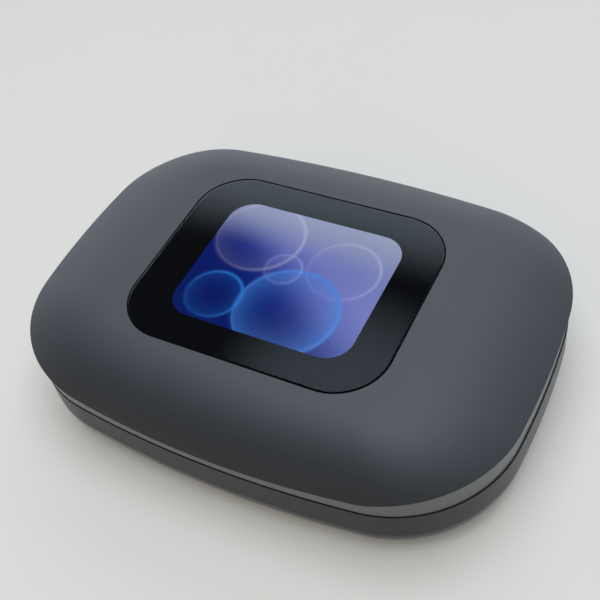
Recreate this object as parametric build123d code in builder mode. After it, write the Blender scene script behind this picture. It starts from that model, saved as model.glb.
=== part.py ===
from build123d import *
from math import acos, cos, radians, sin, sqrt, tan
import os

os.makedirs("parts", exist_ok=True)

# Hinged charging case for a pair of open-ear headphones, with a touch screen in its lid.
# Millimetres. The case stands on Z = 0, its front faces -Y, and the hinge is at the rear.

# Plan outlines: the rolled top of the lid is fuller at its corners than the rim and the base
case_width = 95.0
case_depth = 69.8
end_bow = 153.0
rim_bow = 214.0
rim_corner = 22.8
top_bow = 300.0
top_corner = 21.2

# Heights
case_height = 24.7
parting_height = 12.5
parting_gap = 0.3
foot_height = 0.4

# Lid form: a flat top that rolls down to a crease, with an undercut rim below it
front_rim_height = 2.2
end_rim_height = 5.4
top_front_margin = 0.3
top_end_margin = 2.6
front_flare = 8.0
end_flare = 5.0
dome_steps = 6
inner_dome_steps = 4
lid_skin = 2.0

# Base form
base_inset = 0.2
base_edge_radius = 6.4
base_skin = 1.8

# Cover glass and display
glass_width = 49.8
glass_depth = 41.0
glass_corner = 9.5
glass_thickness = 1.0
glass_gap = 0.15
glass_edge_radius = 0.3
glass_offset = -0.9
gasket_thickness = 0.2
ledge_width = 1.8
screen_width = 37.3
screen_depth = 32.4
screen_corner = 5.6
screen_thickness = 0.8
screen_offset = 0.5

# Display bracket and its board
bracket_thickness = 0.8
bracket_end_margin = 4.0
bracket_side_margin = 1.0
bracket_corner = 10.7
bracket_screw_inset = 1.3
bracket_screw_y = 9.0
bracket_pad_inset = 1.0
display_screw_grip = 1.2
display_screw_radius = 0.6
display_head_radius = 1.2
display_head_height = 0.5
standoff_height = 1.2
standoff_radius = 1.3
standoff_inset = 2.0
peg_radius = 0.6
peg_proud = 0.4
lid_board_gap = 0.5
lid_board_depth = 24.0
lid_board_corner = 1.0
board_thickness = 0.8
flex_side_gap = 0.2
flex_thickness = 0.2
flex_reach = 0.9
flex_slot_gap = 0.3
flex_bend = 0.35

# Lid liner and headphone wells
liner_height = 13.3
liner_thickness = 1.4
liner_gap = 0.15
well_wall = 1.2
well_draft = 4.0
liner_recess = 4.0
bowl_radius = 10.8
bowl_inset = 25.5
bowl_y = -9.0
hook_inset = 21.5
hook_y = 3.0
hook_radius = 12.0
hook_width = 7.2
hook_start = -60.0
hook_turn = 210.0
pad_radius = 5.2
bowl_floor = 3.8
hook_floor = 6.8
bowl_floor_fillet = 2.0

# Tray deck
deck_height = 11.8
deck_thickness = 1.4
deck_gap = 0.15

# Screws, the posts that take them, and the soft plugs that hide them
post_end_inset = 11.0
post_long_inset = 14.4
post_radius = 2.4
screw_radius = 0.8
screw_head_radius = 1.5
screw_head_height = 0.6
screw_grip = 3.0
screw_gap = 0.1
plug_radius = 2.5
plug_depth = 0.4
plug_gap = 0.1
bumper_gap = 0.3
deck_plug_proud = 0.2

# Hinge
hinge_inset = 1.6
barrel_radius = 1.6
pin_radius = 0.6
pin_clearance = 0.03
hinge_width = 45.0
base_barrel_length = 21.0
barrel_gap = 0.2
notch_gap = 0.3
notch_depth = 0.8
leaf_thickness = 1.2
leaf_length = 9.0
lid_screw_x = 15.5
base_screw_x = 8.2
hinge_screw_inset = 6.2
leaf_head_height = 0.5
leaf_post_radius = 1.8

# Electronics
board_height = 4.4
board_width = 44.0
board_rear_inset = 4.5
board_depth = 9.0
board_corner = 1.0
board_post_end_inset = 3.4
board_post_rear_inset = 4.9
board_screw_grip = 1.5
chip_size = 5.0
chip_height = 0.9
chip_places = (-6.0, 5.0)
board_chip_places = (-12.6, 12.6)
tongue_width = 14.0
tongue_reach = 2.8
usb_width = 8.94
usb_height = 3.2
usb_length = 7.3
usb_wall = 0.3
usb_recess = 0.6
usb_gap = 0.1
usb_back = 0.8
usb_tongue_setback = 0.8
usb_tongue_width = 6.7
usb_tongue_thickness = 0.7
battery_side_gap = 2.2
battery_rear_gap = 2.6
battery_front_inset = 9.9
battery_thickness = 6.2
battery_edge = 1.5

# Pairing button and its switch
button_rear_inset = 17.5
button_radius = 2.8
button_gap = 0.15
button_proud = 0.2
button_flange = 0.7
button_flange_height = 0.6
button_stem_radius = 1.1
button_edge = 0.3
button_travel = 0.4
switch_gap = 0.05
switch_chamfer = 0.4
switch_size = 4.2
switch_height = 1.5

# Contact pins
contact_pitch = 3.0
contact_radius = 0.5
contact_proud = 0.9
contact_collar = 0.25
contact_collar_height = 0.6
contact_clearance = 0.05
contact_travel = 0.7
contact_nose = 0.35
contact_tail_radius = 0.35
pin_bore_floor = 2.9
pin_block_width = 7.0
pin_block_depth = 3.6

# Magnets
closure_magnet = (10.0, 4.0, 2.0)
closure_magnet_end_inset = 27.5
closure_magnet_front_inset = 7.9
well_magnet_radius = 2.5
well_magnet_height = 2.0
well_magnet_angles = (0.0, 80.0)

# Foot pad
foot_end_inset = 17.5
foot_long_inset = 17.9
foot_end_straight = 4.0
foot_recess = 0.5
foot_gap = 0.1

# Worked-out places
half_width = case_width / 2
half_depth = case_depth / 2
bowl_x = half_width - bowl_inset
hook_x = half_width - hook_inset
post_x = half_width - post_end_inset
post_y = half_depth - post_long_inset
closure_magnet_x = half_width - closure_magnet_end_inset
closure_magnet_y = closure_magnet_front_inset - half_depth
hook_end = radians(hook_start + hook_turn)
contact_x = hook_x + hook_radius * cos(hook_end)
contact_y = hook_y + hook_radius * sin(hook_end)
lid_bottom = parting_height + parting_gap
front_crease_drop = case_height - lid_bottom - front_rim_height
end_crease_drop = case_height - lid_bottom - end_rim_height
front_roll = half_depth - glass_depth / 2 + glass_offset - top_front_margin
end_roll = half_width - glass_width / 2 - top_end_margin
front_radius = (front_roll**2 + front_crease_drop**2) / (2 * front_crease_drop)
end_radius = (end_roll**2 + end_crease_drop**2) / (2 * end_crease_drop)
hinge_y = half_depth - hinge_inset
hinge_height = parting_height + parting_gap / 2
liner_top = liner_height + liner_thickness
deck_bottom = deck_height - deck_thickness
base_floor = foot_height + base_skin
board_top = board_height + board_thickness
glass_bottom = case_height - glass_thickness
gasket_bottom = glass_bottom - gasket_thickness
screen_bottom = glass_bottom - screen_thickness
roof = case_height - lid_skin
bracket_bottom = roof - bracket_thickness
lid_board_top = bracket_bottom - standoff_height
hook_underside = hook_floor - well_wall
pin_bore_radius = pin_radius + pin_clearance
well_inner_side = bowl_x - bowl_radius - well_wall
lid_board_width = 2 * (well_inner_side - lid_board_gap)
flex_width = lid_board_width - 2 * (standoff_inset + standoff_radius + flex_side_gap)
button_y = half_depth - button_rear_inset
tongue_front = button_y - tongue_reach
board_rear = half_depth - board_rear_inset
board_front = board_rear - board_depth
board_post_x = board_width / 2 - board_post_end_inset
board_post_y = board_rear - board_post_rear_inset
battery_width = 2 * (well_inner_side - battery_side_gap)
battery_front = battery_front_inset - half_depth
battery_rear = tongue_front - battery_rear_gap
foot_width = case_width - 2 * foot_end_inset
foot_depth = case_depth - 2 * foot_long_inset
foot_corner = (foot_depth - foot_end_straight) / 2


def pebble(height, long_inset, end_inset, bow=rim_bow, corner=rim_corner):
    """Plan outline at one height: four bowed sides and round corners, set in from the crease line."""
    long_radius = bow - long_inset
    long_centre = long_radius + long_inset - half_depth
    short_radius = end_bow - end_inset
    short_centre = short_radius + end_inset - half_width
    with BuildSketch(Plane.XY.offset(height)) as plan:
        with Locations((0, -long_centre)):
            Circle(long_radius)
        with Locations((0, long_centre)):
            Circle(long_radius, mode=Mode.INTERSECT)
        with Locations((-short_centre, 0)):
            Circle(short_radius, mode=Mode.INTERSECT)
        with Locations((short_centre, 0)):
            Circle(short_radius, mode=Mode.INTERSECT)
        fillet(plan.vertices(), corner - (long_inset + end_inset) / 2)
    return plan.sketch


def dome(skin, steps):
    """Solid under the lid's rolled top, a wall thickness in; the hidden inner face is faceted."""
    top = case_height - skin
    front = front_radius - skin
    end = end_radius - skin
    sweep_angle = acos(1 - (top - parting_height) / front)
    sections = []
    for step in range(steps + 1):
        angle = sweep_angle * step / steps
        drop = front * (1 - cos(angle))
        long_inset = front_roll - front * sin(angle)
        end_inset = end_roll - sqrt(drop * (2 * end - drop))
        sections.append(pebble(top - drop, long_inset, end_inset, top_bow, top_corner))
    with BuildPart() as rolled:
        loft(sections, ruled=skin > 0)
    return rolled.part


def rim_insets(height, skin):
    """How far in the undercut rim lies at a height, on the long sides and at the ends."""
    long_inset = (lid_bottom + front_rim_height - height) * tan(radians(front_flare))
    end_inset = (lid_bottom + end_rim_height - height) * tan(radians(end_flare))
    return long_inset + skin, end_inset + skin


def lid_form(skin, steps):
    """Lid without openings, from its lower edge up: the dome cut by the undercut rim."""
    with BuildPart() as form:
        ends = [pebble(height, *rim_insets(height, skin)) for height in (lid_bottom, case_height)]
        loft(ends, ruled=True)
        add(dome(skin, steps), mode=Mode.INTERSECT)
    return form.part


def base_block(skin):
    """Upright block of the base, a wall thickness in, before its lower edge is shaped."""
    rim = pebble(parting_height, base_inset + skin, base_inset + skin)
    return extrude(rim, amount=-(parting_height - foot_height - skin))


def well_plan(height, growth):
    """Plan of the right headphone well: a round bowl, the ear-hook channel and its end pad."""
    channel = CenterArc((hook_x, hook_y), hook_radius, hook_start, hook_turn, mode=Mode.PRIVATE)
    with BuildSketch(Plane.XY.offset(height)) as plan:
        SlotArc(channel, hook_width + 2 * growth)
        with Locations((bowl_x, bowl_y)):
            Circle(bowl_radius + growth)
        with Locations((contact_x, contact_y)):
            Circle(pad_radius + growth)
    return plan.sketch


def drafted(plan, mouth, top, bottom, growth):
    """Solid between two heights of a well that narrows with depth from its mouth."""
    slope = tan(radians(well_draft))
    ends = [plan(height, growth - abs(mouth - height) * slope) for height in (top, bottom)]
    with BuildPart() as narrowed:
        loft(ends, ruled=True)
    return narrowed.part


def bowl_plan(height, growth):
    """Plan of the right well's bowl alone."""
    with BuildSketch(Plane.XY.offset(height)) as plan:
        with Locations((bowl_x, bowl_y)):
            Circle(bowl_radius + growth)
    return plan.sketch


def corners(x, y, z):
    """The four places that mirror one another about both middle planes."""
    return [(x, y, z), (-x, y, z), (-x, -y, z), (x, -y, z)]


def pillar(radius, bottom, top, mode=Mode.ADD):
    """Round pillar standing on each place of the Locations that are open."""
    Cylinder(radius, top - bottom, align=(Align.CENTER, Align.CENTER, Align.MIN), mode=mode)


def block(size_x, size_y, size_z, mode=Mode.ADD):
    """Block standing on each place of the Locations that are open, centred in X and Y."""
    Box(size_x, size_y, size_z, align=(Align.CENTER, Align.CENTER, Align.MIN), mode=mode)


def rear_cut(half_length, front, bottom, top):
    """Block over the hinge, from a front face to behind the case."""
    depth = half_depth + hinge_inset - front
    with BuildPart() as cut:
        with Locations((0, front + depth / 2, bottom)):
            block(2 * half_length, depth, top - bottom)
    return cut.part


def screw_set(spots, head_radius, head_height, shank_radius, grip, upward):
    """Screws with flat heads; each spot is the middle of the face under the head."""
    with BuildPart() as screws:
        for spot in spots:
            seat = Plane(origin=spot, z_dir=(0, 0, 1 if upward else -1))
            with Locations(seat):
                Cylinder(shank_radius, grip, align=(Align.CENTER, Align.CENTER, Align.MIN))
                Cylinder(head_radius, head_height, align=(Align.CENTER, Align.CENTER, Align.MAX))
    return screws


def finish(piece, name):
    """Label a finished piece and write it."""
    piece.part.label = name
    export_step(piece.part, f"parts/{name}.step")


# ---- Lid -------------------------------------------------------------------------------

window_width = glass_width - 2 * ledge_width
window_depth = glass_depth - 2 * ledge_width
window_corner = glass_corner - ledge_width
leaf_top = hinge_height + barrel_radius
leaf_bottom = hinge_height - barrel_radius
leaf_front = hinge_y - leaf_length
leaf_screw_y = hinge_y - hinge_screw_inset
display_screw_x = window_width / 2 + bracket_end_margin - bracket_screw_inset
display_spots = [
    (side * display_screw_x, glass_offset + reach * bracket_screw_y, bracket_bottom)
    for side in (-1, 1)
    for reach in (-1, 1)
]

lid_outer = lid_form(0, dome_steps)
lid_inner = lid_form(lid_skin, inner_dome_steps)

with BuildPart() as lid_posts:
    with Locations(*corners(post_x, post_y, liner_top)):
        pillar(post_radius, liner_top, case_height)
    with Locations((lid_screw_x, leaf_screw_y, leaf_top), (-lid_screw_x, leaf_screw_y, leaf_top)):
        pillar(post_radius, leaf_top, case_height)
    add(lid_outer, mode=Mode.INTERSECT)

with BuildPart() as lid_shell:
    add(lid_outer)
    add(lid_inner, mode=Mode.SUBTRACT)
    add(lid_posts)
    # Seat for the glass and its gasket, with the window through the ledge
    with BuildSketch(Plane.XY.offset(case_height)):
        with Locations((0, glass_offset)):
            seat_corner = glass_corner + glass_gap
            RectangleRounded(glass_width + 2 * glass_gap, glass_depth + 2 * glass_gap, seat_corner)
    extrude(amount=-(glass_thickness + gasket_thickness), mode=Mode.SUBTRACT)
    with BuildSketch(Plane.XY.offset(gasket_bottom)):
        with Locations((0, glass_offset)):
            RectangleRounded(window_width, window_depth, window_corner)
    extrude(amount=-lid_skin, mode=Mode.SUBTRACT)
    # Threads for the liner, leaf and display screws
    with Locations(*corners(post_x, post_y, liner_top)):
        pillar(screw_radius, 0, screw_grip, mode=Mode.SUBTRACT)
    with Locations((lid_screw_x, leaf_screw_y, leaf_top), (-lid_screw_x, leaf_screw_y, leaf_top)):
        pillar(screw_radius, 0, screw_grip, mode=Mode.SUBTRACT)
    with Locations(*[(x, y, roof) for x, y, z in display_spots]):
        pillar(display_screw_radius, 0, display_screw_grip, mode=Mode.SUBTRACT)
    # Notch for the hinge barrels
    notch_half = hinge_width / 2 + notch_gap
    notch_front = hinge_y - barrel_radius - notch_depth
    add(rear_cut(notch_half, notch_front, 0, leaf_top + notch_gap), mode=Mode.SUBTRACT)

with BuildPart() as cover_glass:
    with BuildSketch(Plane.XY.offset(glass_bottom)):
        with Locations((0, glass_offset)):
            RectangleRounded(glass_width, glass_depth, glass_corner)
    extrude(amount=glass_thickness)
    fillet(cover_glass.faces().sort_by(Axis.Z)[-1].edges(), glass_edge_radius)

with BuildPart() as glass_gasket:
    with BuildSketch(Plane.XY.offset(gasket_bottom)):
        with Locations((0, glass_offset)):
            RectangleRounded(glass_width, glass_depth, glass_corner)
            RectangleRounded(window_width, window_depth, window_corner, mode=Mode.SUBTRACT)
    extrude(amount=gasket_thickness)

screen_y = glass_offset + screen_offset
with BuildPart() as display_panel:
    with BuildSketch(Plane.XY.offset(screen_bottom)):
        with Locations((0, screen_y)):
            RectangleRounded(screen_width, screen_depth, screen_corner)
    extrude(amount=screen_thickness)

# The ribbon leaves the panel's rear edge, drops through the bracket and ends on the board
ribbon_rear = screen_y + screen_depth / 2 + flex_reach
ribbon_front = glass_offset + lid_board_depth / 2 - standoff_inset
ribbon_middle = flex_thickness / 2
with BuildPart() as display_flex:
    with BuildSketch(Plane.YZ):
        with BuildLine():
            FilletPolyline(
                (screen_y + screen_depth / 2, glass_bottom - ribbon_middle - screen_thickness / 2),
                (ribbon_rear, glass_bottom - ribbon_middle - screen_thickness / 2),
                (ribbon_rear, lid_board_top + ribbon_middle),
                (ribbon_front, lid_board_top + ribbon_middle),
                radius=flex_bend,
            )
        trace(line_width=flex_thickness)
    extrude(amount=flex_width / 2, both=True)

lid_board_spots = [
    (x, glass_offset + y, lid_board_top)
    for x, y, z in corners(
        lid_board_width / 2 - standoff_inset, lid_board_depth / 2 - standoff_inset, 0
    )
]

with BuildPart() as display_bracket:
    with BuildSketch(Plane.XY.offset(bracket_bottom)):
        with Locations((0, glass_offset)):
            RectangleRounded(
                window_width + 2 * bracket_end_margin,
                window_depth + 2 * bracket_side_margin,
                bracket_corner,
            )
    extrude(amount=bracket_thickness)
    with BuildSketch(Plane.XY.offset(roof)):
        with Locations((0, screen_y)):
            RectangleRounded(
                screen_width - 2 * bracket_pad_inset,
                screen_depth - 2 * bracket_pad_inset,
                screen_corner - bracket_pad_inset,
            )
    extrude(amount=screen_bottom - roof)
    with Locations(*lid_board_spots):
        pillar(standoff_radius, lid_board_top, bracket_bottom)
    with Locations(*[(x, y, z - board_thickness - peg_proud) for x, y, z in lid_board_spots]):
        pillar(peg_radius, 0, board_thickness + peg_proud)
    with Locations(*display_spots):
        pillar(display_screw_radius + screw_gap, 0, bracket_thickness, mode=Mode.SUBTRACT)
    # Slot for the ribbon
    with Locations((0, ribbon_rear, bracket_bottom)):
        block(
            flex_width + 2 * flex_slot_gap,
            flex_thickness + 2 * flex_slot_gap,
            bracket_thickness + screen_thickness,
            mode=Mode.SUBTRACT,
        )

display_screws = screw_set(
    display_spots,
    display_head_radius,
    display_head_height,
    display_screw_radius,
    bracket_thickness + display_screw_grip,
    True,
)

lid_board_bottom = lid_board_top - board_thickness
chip_bottom = lid_board_bottom - chip_height
with BuildPart() as lid_board:
    with BuildSketch(Plane.XY.offset(lid_board_top)):
        with Locations((0, glass_offset)):
            RectangleRounded(lid_board_width, lid_board_depth, lid_board_corner)
    extrude(amount=-board_thickness)
    with Locations(*[(x, y, 0) for x, y, z in lid_board_spots]):
        pillar(peg_radius, 0, lid_board_top, mode=Mode.SUBTRACT)
    with Locations(*[(0, glass_offset + y, chip_bottom) for y in chip_places]):
        block(chip_size, chip_size, chip_height)


# ---- Lid liner, the inner cover over the headphones -------------------------------------

bulge_top = liner_height + liner_recess + well_wall
liner_bulge = drafted(well_plan, liner_top, liner_top, bulge_top, well_wall)
liner_hollow = drafted(well_plan, liner_height, liner_height, liner_height + liner_recess, 0)

liner_insets = rim_insets(liner_height, lid_skin + liner_gap)
with BuildPart() as lid_liner:
    extrude(pebble(liner_height, *liner_insets), amount=liner_thickness)
    add(liner_bulge)
    mirror(liner_bulge, about=Plane.YZ)
    add(liner_hollow, mode=Mode.SUBTRACT)
    mirror(liner_hollow, about=Plane.YZ, mode=Mode.SUBTRACT)
    add(rear_cut(notch_half, leaf_front - notch_gap, 0, case_height), mode=Mode.SUBTRACT)
    with Locations(*corners(post_x, post_y, 0)):
        pillar(screw_radius + screw_gap, 0, case_height, mode=Mode.SUBTRACT)
        pillar(plug_radius, 0, liner_height + plug_depth, mode=Mode.SUBTRACT)
        pillar(
            screw_head_radius + screw_gap,
            0,
            liner_height + plug_depth + screw_head_height,
            mode=Mode.SUBTRACT,
        )

liner_screw_seat = liner_height + plug_depth + screw_head_height
liner_screws = screw_set(
    corners(post_x, post_y, liner_screw_seat),
    screw_head_radius,
    screw_head_height,
    screw_radius,
    liner_top + screw_grip - liner_screw_seat,
    True,
)

bumper_bottom = deck_height + deck_plug_proud + bumper_gap
with BuildPart() as lid_bumpers:
    with Locations(*corners(post_x, post_y, bumper_bottom)):
        pillar(plug_radius - plug_gap, bumper_bottom, liner_height + plug_depth)

magnet_length, magnet_depth, magnet_height = closure_magnet
with BuildPart() as lid_magnets:
    for side in (-1, 1):
        with Locations((side * closure_magnet_x, closure_magnet_y, liner_top)):
            block(magnet_length, magnet_depth, magnet_height)


# ---- Hinge -----------------------------------------------------------------------------

with BuildPart() as lid_hinge_leaf:
    with BuildSketch(Plane.YZ):
        with Locations((hinge_y, hinge_height)):
            Circle(barrel_radius)
        with Locations((hinge_y - leaf_length / 2, leaf_top - leaf_thickness / 2)):
            Rectangle(leaf_length, leaf_thickness)
    extrude(amount=hinge_width / 2, both=True)
    middle_cut = rear_cut(base_barrel_length / 2 + barrel_gap, notch_front, 0, case_height)
    add(middle_cut, mode=Mode.SUBTRACT)
    with BuildSketch(Plane.YZ):
        with Locations((hinge_y, hinge_height)):
            Circle(pin_bore_radius)
    extrude(amount=hinge_width / 2, both=True, mode=Mode.SUBTRACT)
    with Locations((lid_screw_x, leaf_screw_y, 0), (-lid_screw_x, leaf_screw_y, 0)):
        pillar(screw_radius + screw_gap, 0, case_height, mode=Mode.SUBTRACT)

with BuildPart() as base_hinge_leaf:
    with BuildSketch(Plane.YZ):
        with Locations((hinge_y, hinge_height)):
            Circle(barrel_radius)
        with Locations((hinge_y - leaf_length / 2, leaf_bottom + leaf_thickness / 2)):
            Rectangle(leaf_length, leaf_thickness)
    extrude(amount=base_barrel_length / 2, both=True)
    with BuildSketch(Plane.YZ):
        with Locations((hinge_y, hinge_height)):
            Circle(pin_radius)
    extrude(amount=hinge_width / 2, both=True, mode=Mode.SUBTRACT)
    with Locations((base_screw_x, leaf_screw_y, 0), (-base_screw_x, leaf_screw_y, 0)):
        pillar(screw_radius + screw_gap, 0, case_height, mode=Mode.SUBTRACT)

with BuildPart() as hinge_pin:
    with BuildSketch(Plane.YZ):
        with Locations((hinge_y, hinge_height)):
            Circle(pin_radius)
    extrude(amount=hinge_width / 2, both=True)

lid_leaf_screws = screw_set(
    [(side * lid_screw_x, leaf_screw_y, leaf_top - leaf_thickness) for side in (-1, 1)],
    screw_head_radius,
    leaf_head_height,
    screw_radius,
    leaf_thickness + screw_grip,
    True,
)

base_leaf_screws = screw_set(
    [(side * base_screw_x, leaf_screw_y, leaf_bottom + leaf_thickness) for side in (-1, 1)],
    screw_head_radius,
    leaf_head_height,
    screw_radius,
    leaf_thickness + screw_grip,
    False,
)


# ---- Base ------------------------------------------------------------------------------

with BuildPart() as base_outer:
    add(base_block(0))
    fillet(base_outer.faces().sort_by(Axis.Z)[0].edges(), base_edge_radius)

# The hidden inner edge is bevelled where the outer one is round, at the same wall thickness
inner_bevel = (base_edge_radius - base_skin) * (2 - sqrt(2))
with BuildPart() as base_inner:
    add(base_block(base_skin))
    chamfer(base_inner.faces().sort_by(Axis.Z)[0].edges(), inner_bevel)

board_spots = [(side * board_post_x, board_post_y, 0) for side in (-1, 1)]
usb_y = half_depth - base_inset - usb_recess
usb_height_middle = board_top + usb_height / 2

with BuildPart() as base_posts:
    with Locations(*corners(post_x, post_y, 0)):
        pillar(post_radius, 0, deck_bottom)
    with Locations((base_screw_x, leaf_screw_y, 0), (-base_screw_x, leaf_screw_y, 0)):
        pillar(leaf_post_radius, 0, leaf_bottom)
    with Locations(*board_spots):
        pillar(post_radius, 0, board_height)
    add(base_outer.part, mode=Mode.INTERSECT)

with BuildPart() as base_shell:
    add(base_outer.part)
    add(base_inner.part, mode=Mode.SUBTRACT)
    add(base_posts)
    # Threads for the tray, leaf and board screws
    with Locations(*corners(post_x, post_y, deck_bottom - screw_grip)):
        pillar(screw_radius, 0, screw_grip, mode=Mode.SUBTRACT)
    with Locations(
        (base_screw_x, leaf_screw_y, leaf_bottom - screw_grip),
        (-base_screw_x, leaf_screw_y, leaf_bottom - screw_grip),
    ):
        pillar(screw_radius, 0, screw_grip, mode=Mode.SUBTRACT)
    with Locations(*[(x, y, board_height - board_screw_grip) for x, y, z in board_spots]):
        pillar(screw_radius, 0, board_screw_grip, mode=Mode.SUBTRACT)
    # Mouth of the charging socket, in the rear wall
    with BuildSketch(Plane.XZ.offset(-half_depth)):
        with Locations((0, usb_height_middle)):
            SlotOverall(usb_width + 2 * usb_gap, usb_height + 2 * usb_gap)
    extrude(amount=usb_length, mode=Mode.SUBTRACT)
    # Notch for the hinge barrels, and the foot pad's recess
    add(rear_cut(notch_half, notch_front, leaf_bottom - notch_gap, case_height), mode=Mode.SUBTRACT)
    with BuildSketch(Plane.XY.offset(foot_height)):
        RectangleRounded(foot_width + 2 * foot_gap, foot_depth + 2 * foot_gap, foot_corner + foot_gap)
    extrude(amount=foot_recess, mode=Mode.SUBTRACT)

with BuildPart() as foot_pad:
    with BuildSketch():
        RectangleRounded(foot_width, foot_depth, foot_corner)
    extrude(amount=foot_height + foot_recess)


# ---- Tray ------------------------------------------------------------------------------

with BuildPart() as well_shell:
    add(drafted(well_plan, deck_bottom, deck_bottom, hook_underside, well_wall))
    add(drafted(bowl_plan, deck_bottom, hook_underside, bowl_floor - well_wall, well_wall))

with BuildPart() as well_hollow:
    add(drafted(bowl_plan, deck_height, hook_floor, bowl_floor, 0))
    fillet(well_hollow.edges().group_by(Axis.Z)[0], bowl_floor_fillet)
    add(drafted(well_plan, deck_height, deck_height, hook_floor, 0))

contact_spots = {
    "left_front": (-contact_x, contact_y - contact_pitch / 2),
    "left_rear": (-contact_x, contact_y + contact_pitch / 2),
    "right_front": (contact_x, contact_y - contact_pitch / 2),
    "right_rear": (contact_x, contact_y + contact_pitch / 2),
}

# The deck clears the base wall all round
deck_inset = base_inset + base_skin + deck_gap
with BuildPart() as tray:
    extrude(pebble(deck_height, deck_inset, deck_inset), amount=-deck_thickness)
    add(well_shell)
    mirror(well_shell.part, about=Plane.YZ)
    add(well_hollow, mode=Mode.SUBTRACT)
    mirror(well_hollow.part, about=Plane.YZ, mode=Mode.SUBTRACT)
    # Room for the hinge barrels and the base leaf
    add(rear_cut(notch_half, notch_front, 0, case_height), mode=Mode.SUBTRACT)
    leaf_room = rear_cut(base_barrel_length / 2 + notch_gap, leaf_front - notch_gap, 0, case_height)
    add(leaf_room, mode=Mode.SUBTRACT)
    # Screw holes under their plugs
    with Locations(*corners(post_x, post_y, 0)):
        pillar(screw_radius + screw_gap, 0, case_height, mode=Mode.SUBTRACT)
    with Locations(*corners(post_x, post_y, deck_height - plug_depth)):
        pillar(plug_radius, 0, case_height, mode=Mode.SUBTRACT)
    with Locations(*corners(post_x, post_y, deck_height - plug_depth - screw_head_height)):
        pillar(screw_head_radius + screw_gap, 0, case_height, mode=Mode.SUBTRACT)
    # Button opening and the bores of the contact pins
    with Locations((0, button_y, 0)):
        pillar(button_radius + button_gap, 0, case_height, mode=Mode.SUBTRACT)
    with Locations(*[(x, y, 0) for x, y in contact_spots.values()]):
        pillar(contact_radius + contact_clearance, 0, case_height, mode=Mode.SUBTRACT)

tray_screw_seat = deck_height - plug_depth - screw_head_height
tray_screws = screw_set(
    corners(post_x, post_y, tray_screw_seat),
    screw_head_radius,
    screw_head_height,
    screw_radius,
    tray_screw_seat - deck_bottom + screw_grip,
    False,
)

with BuildPart() as tray_plugs:
    with Locations(*corners(post_x, post_y, deck_height - plug_depth)):
        pillar(plug_radius - plug_gap, 0, plug_depth + deck_plug_proud)

with BuildPart() as base_magnets:
    for side in (-1, 1):
        with Locations((side * closure_magnet_x, closure_magnet_y, deck_bottom - magnet_height)):
            block(magnet_length, magnet_depth, magnet_height)

with BuildPart() as well_magnets:
    for side in (-1, 1):
        for angle in well_magnet_angles:
            turn = radians(angle)
            x = side * (hook_x + hook_radius * cos(turn))
            y = hook_y + hook_radius * sin(turn)
            with Locations((x, y, hook_underside - well_magnet_height)):
                pillar(well_magnet_radius, 0, well_magnet_height)


# ---- Contacts and button -----------------------------------------------------------------

collar_radius = contact_radius + contact_collar
collar_top = hook_underside - contact_clearance
collar_bottom = collar_top - contact_collar_height


def pin_block(side):
    """Moulded block under the contact pad, bored for two sprung pins."""
    with BuildPart() as holder:
        with Locations((side * contact_x, contact_y, base_floor)):
            block(pin_block_depth, pin_block_width, hook_underside - base_floor)
        for offset in (-contact_pitch / 2, contact_pitch / 2):
            with Locations((side * contact_x, contact_y + offset, pin_bore_floor)):
                pillar(collar_radius + contact_clearance, 0, case_height, mode=Mode.SUBTRACT)
    return holder


pin_block_left = pin_block(-1)
pin_block_right = pin_block(1)


def contact_pin(x, y):
    """Sprung plunger: a round-nosed tip above a collar, with a tail for its spring."""
    with BuildPart() as plunger:
        with Locations((x, y, collar_bottom)):
            pillar(contact_radius, 0, hook_floor + contact_proud - collar_bottom)
        fillet(plunger.edges().group_by(Axis.Z)[-1], contact_nose)
        with Locations((x, y, collar_bottom)):
            pillar(collar_radius, 0, contact_collar_height)
        with Locations((x, y, pin_bore_floor + contact_travel + contact_clearance)):
            pillar(
                contact_tail_radius,
                0,
                collar_bottom - pin_bore_floor - contact_travel - contact_clearance,
            )
    return plunger


with BuildPart() as pairing_button:
    with Locations((0, button_y, deck_bottom - button_gap)):
        pillar(button_radius, 0, deck_height + button_proud - deck_bottom + button_gap)
    fillet(pairing_button.edges().group_by(Axis.Z)[-1], button_edge)
    with Locations((0, button_y, deck_bottom - button_gap - button_flange_height)):
        pillar(button_radius + button_flange, 0, button_flange_height)
    stem_bottom = board_top + switch_height + button_travel + switch_gap
    with Locations((0, button_y, stem_bottom)):
        pillar(button_stem_radius, stem_bottom, deck_bottom - button_gap - button_flange_height)

with BuildPart() as tact_switch:
    with Locations((0, button_y, board_top)):
        block(switch_size, switch_size, switch_height)
    chamfer(tact_switch.edges().filter_by(Axis.Z), switch_chamfer)


# ---- Board, socket and battery -------------------------------------------------------------

with BuildPart() as main_board:
    with BuildSketch(Plane.XY.offset(board_height)):
        with Locations((0, (board_front + board_rear) / 2)):
            RectangleRounded(board_width, board_rear - board_front, board_corner)
        with Locations((0, (tongue_front + board_rear) / 2)):
            RectangleRounded(tongue_width, board_rear - tongue_front, board_corner)
        with Locations((base_screw_x, leaf_screw_y), (-base_screw_x, leaf_screw_y)):
            Circle(leaf_post_radius + notch_gap, mode=Mode.SUBTRACT)
        with Locations(*[(x, y) for x, y, z in board_spots]):
            Circle(screw_radius + screw_gap, mode=Mode.SUBTRACT)
    extrude(amount=board_thickness)
    with Locations(*[(x, (board_front + board_rear) / 2, board_top) for x in board_chip_places]):
        block(chip_size, chip_size, chip_height)

board_screws = screw_set(
    [(x, y, board_top) for x, y, z in board_spots],
    screw_head_radius,
    leaf_head_height,
    screw_radius,
    board_thickness + board_screw_grip,
    False,
)

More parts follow.
